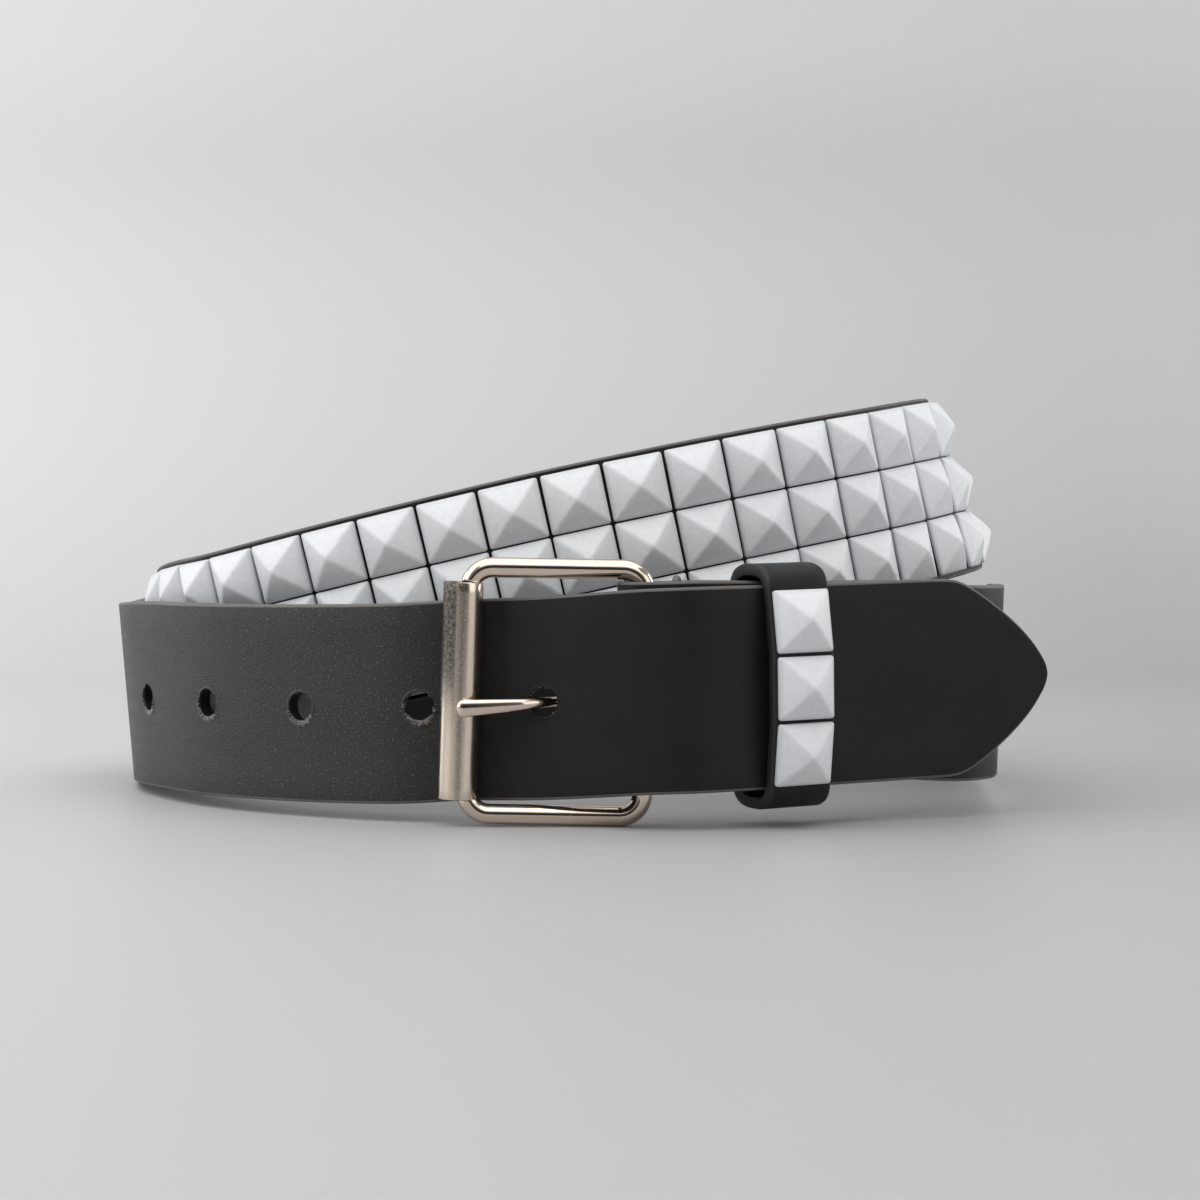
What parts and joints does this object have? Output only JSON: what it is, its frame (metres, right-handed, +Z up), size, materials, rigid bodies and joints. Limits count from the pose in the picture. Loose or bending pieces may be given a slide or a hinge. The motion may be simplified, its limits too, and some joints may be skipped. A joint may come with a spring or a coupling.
{
  "type": "studded belt",
  "caption": "Black leather belt covered in white pyramid studs, fastened at its roller buckle and wound into a coil of two turns that stands on its edge.",
  "frame": {"origin": "bottom centre of the bounding box, on the surface that the coil stands on", "axes": "+X to the right along the front of the coil, towards the strap's point; +Y away from the buckle; +Z up"},
  "size_m": [0.1902, 0.1722, 0.0823],
  "materials": {
    "black_leather": "smooth black leather with a fine grain and a low sheen, frayed pale at the holes",
    "white_paint": "cool white enamel on pressed metal, satin",
    "nickel": "polished nickel plate, lightly worn and pitted on the roller"
  },
  "bodies": {
    "root": {"strap": "black_leather", "keeper": "black_leather", "stud_field": "white_paint", "keeper_stud_1": "white_paint", "keeper_stud_2": "white_paint", "keeper_stud_3": "white_paint", "buckle_frame": "nickel", "buckle_roller": "nickel", "buckle_prong": "nickel"}
  },
  "joints": []
}
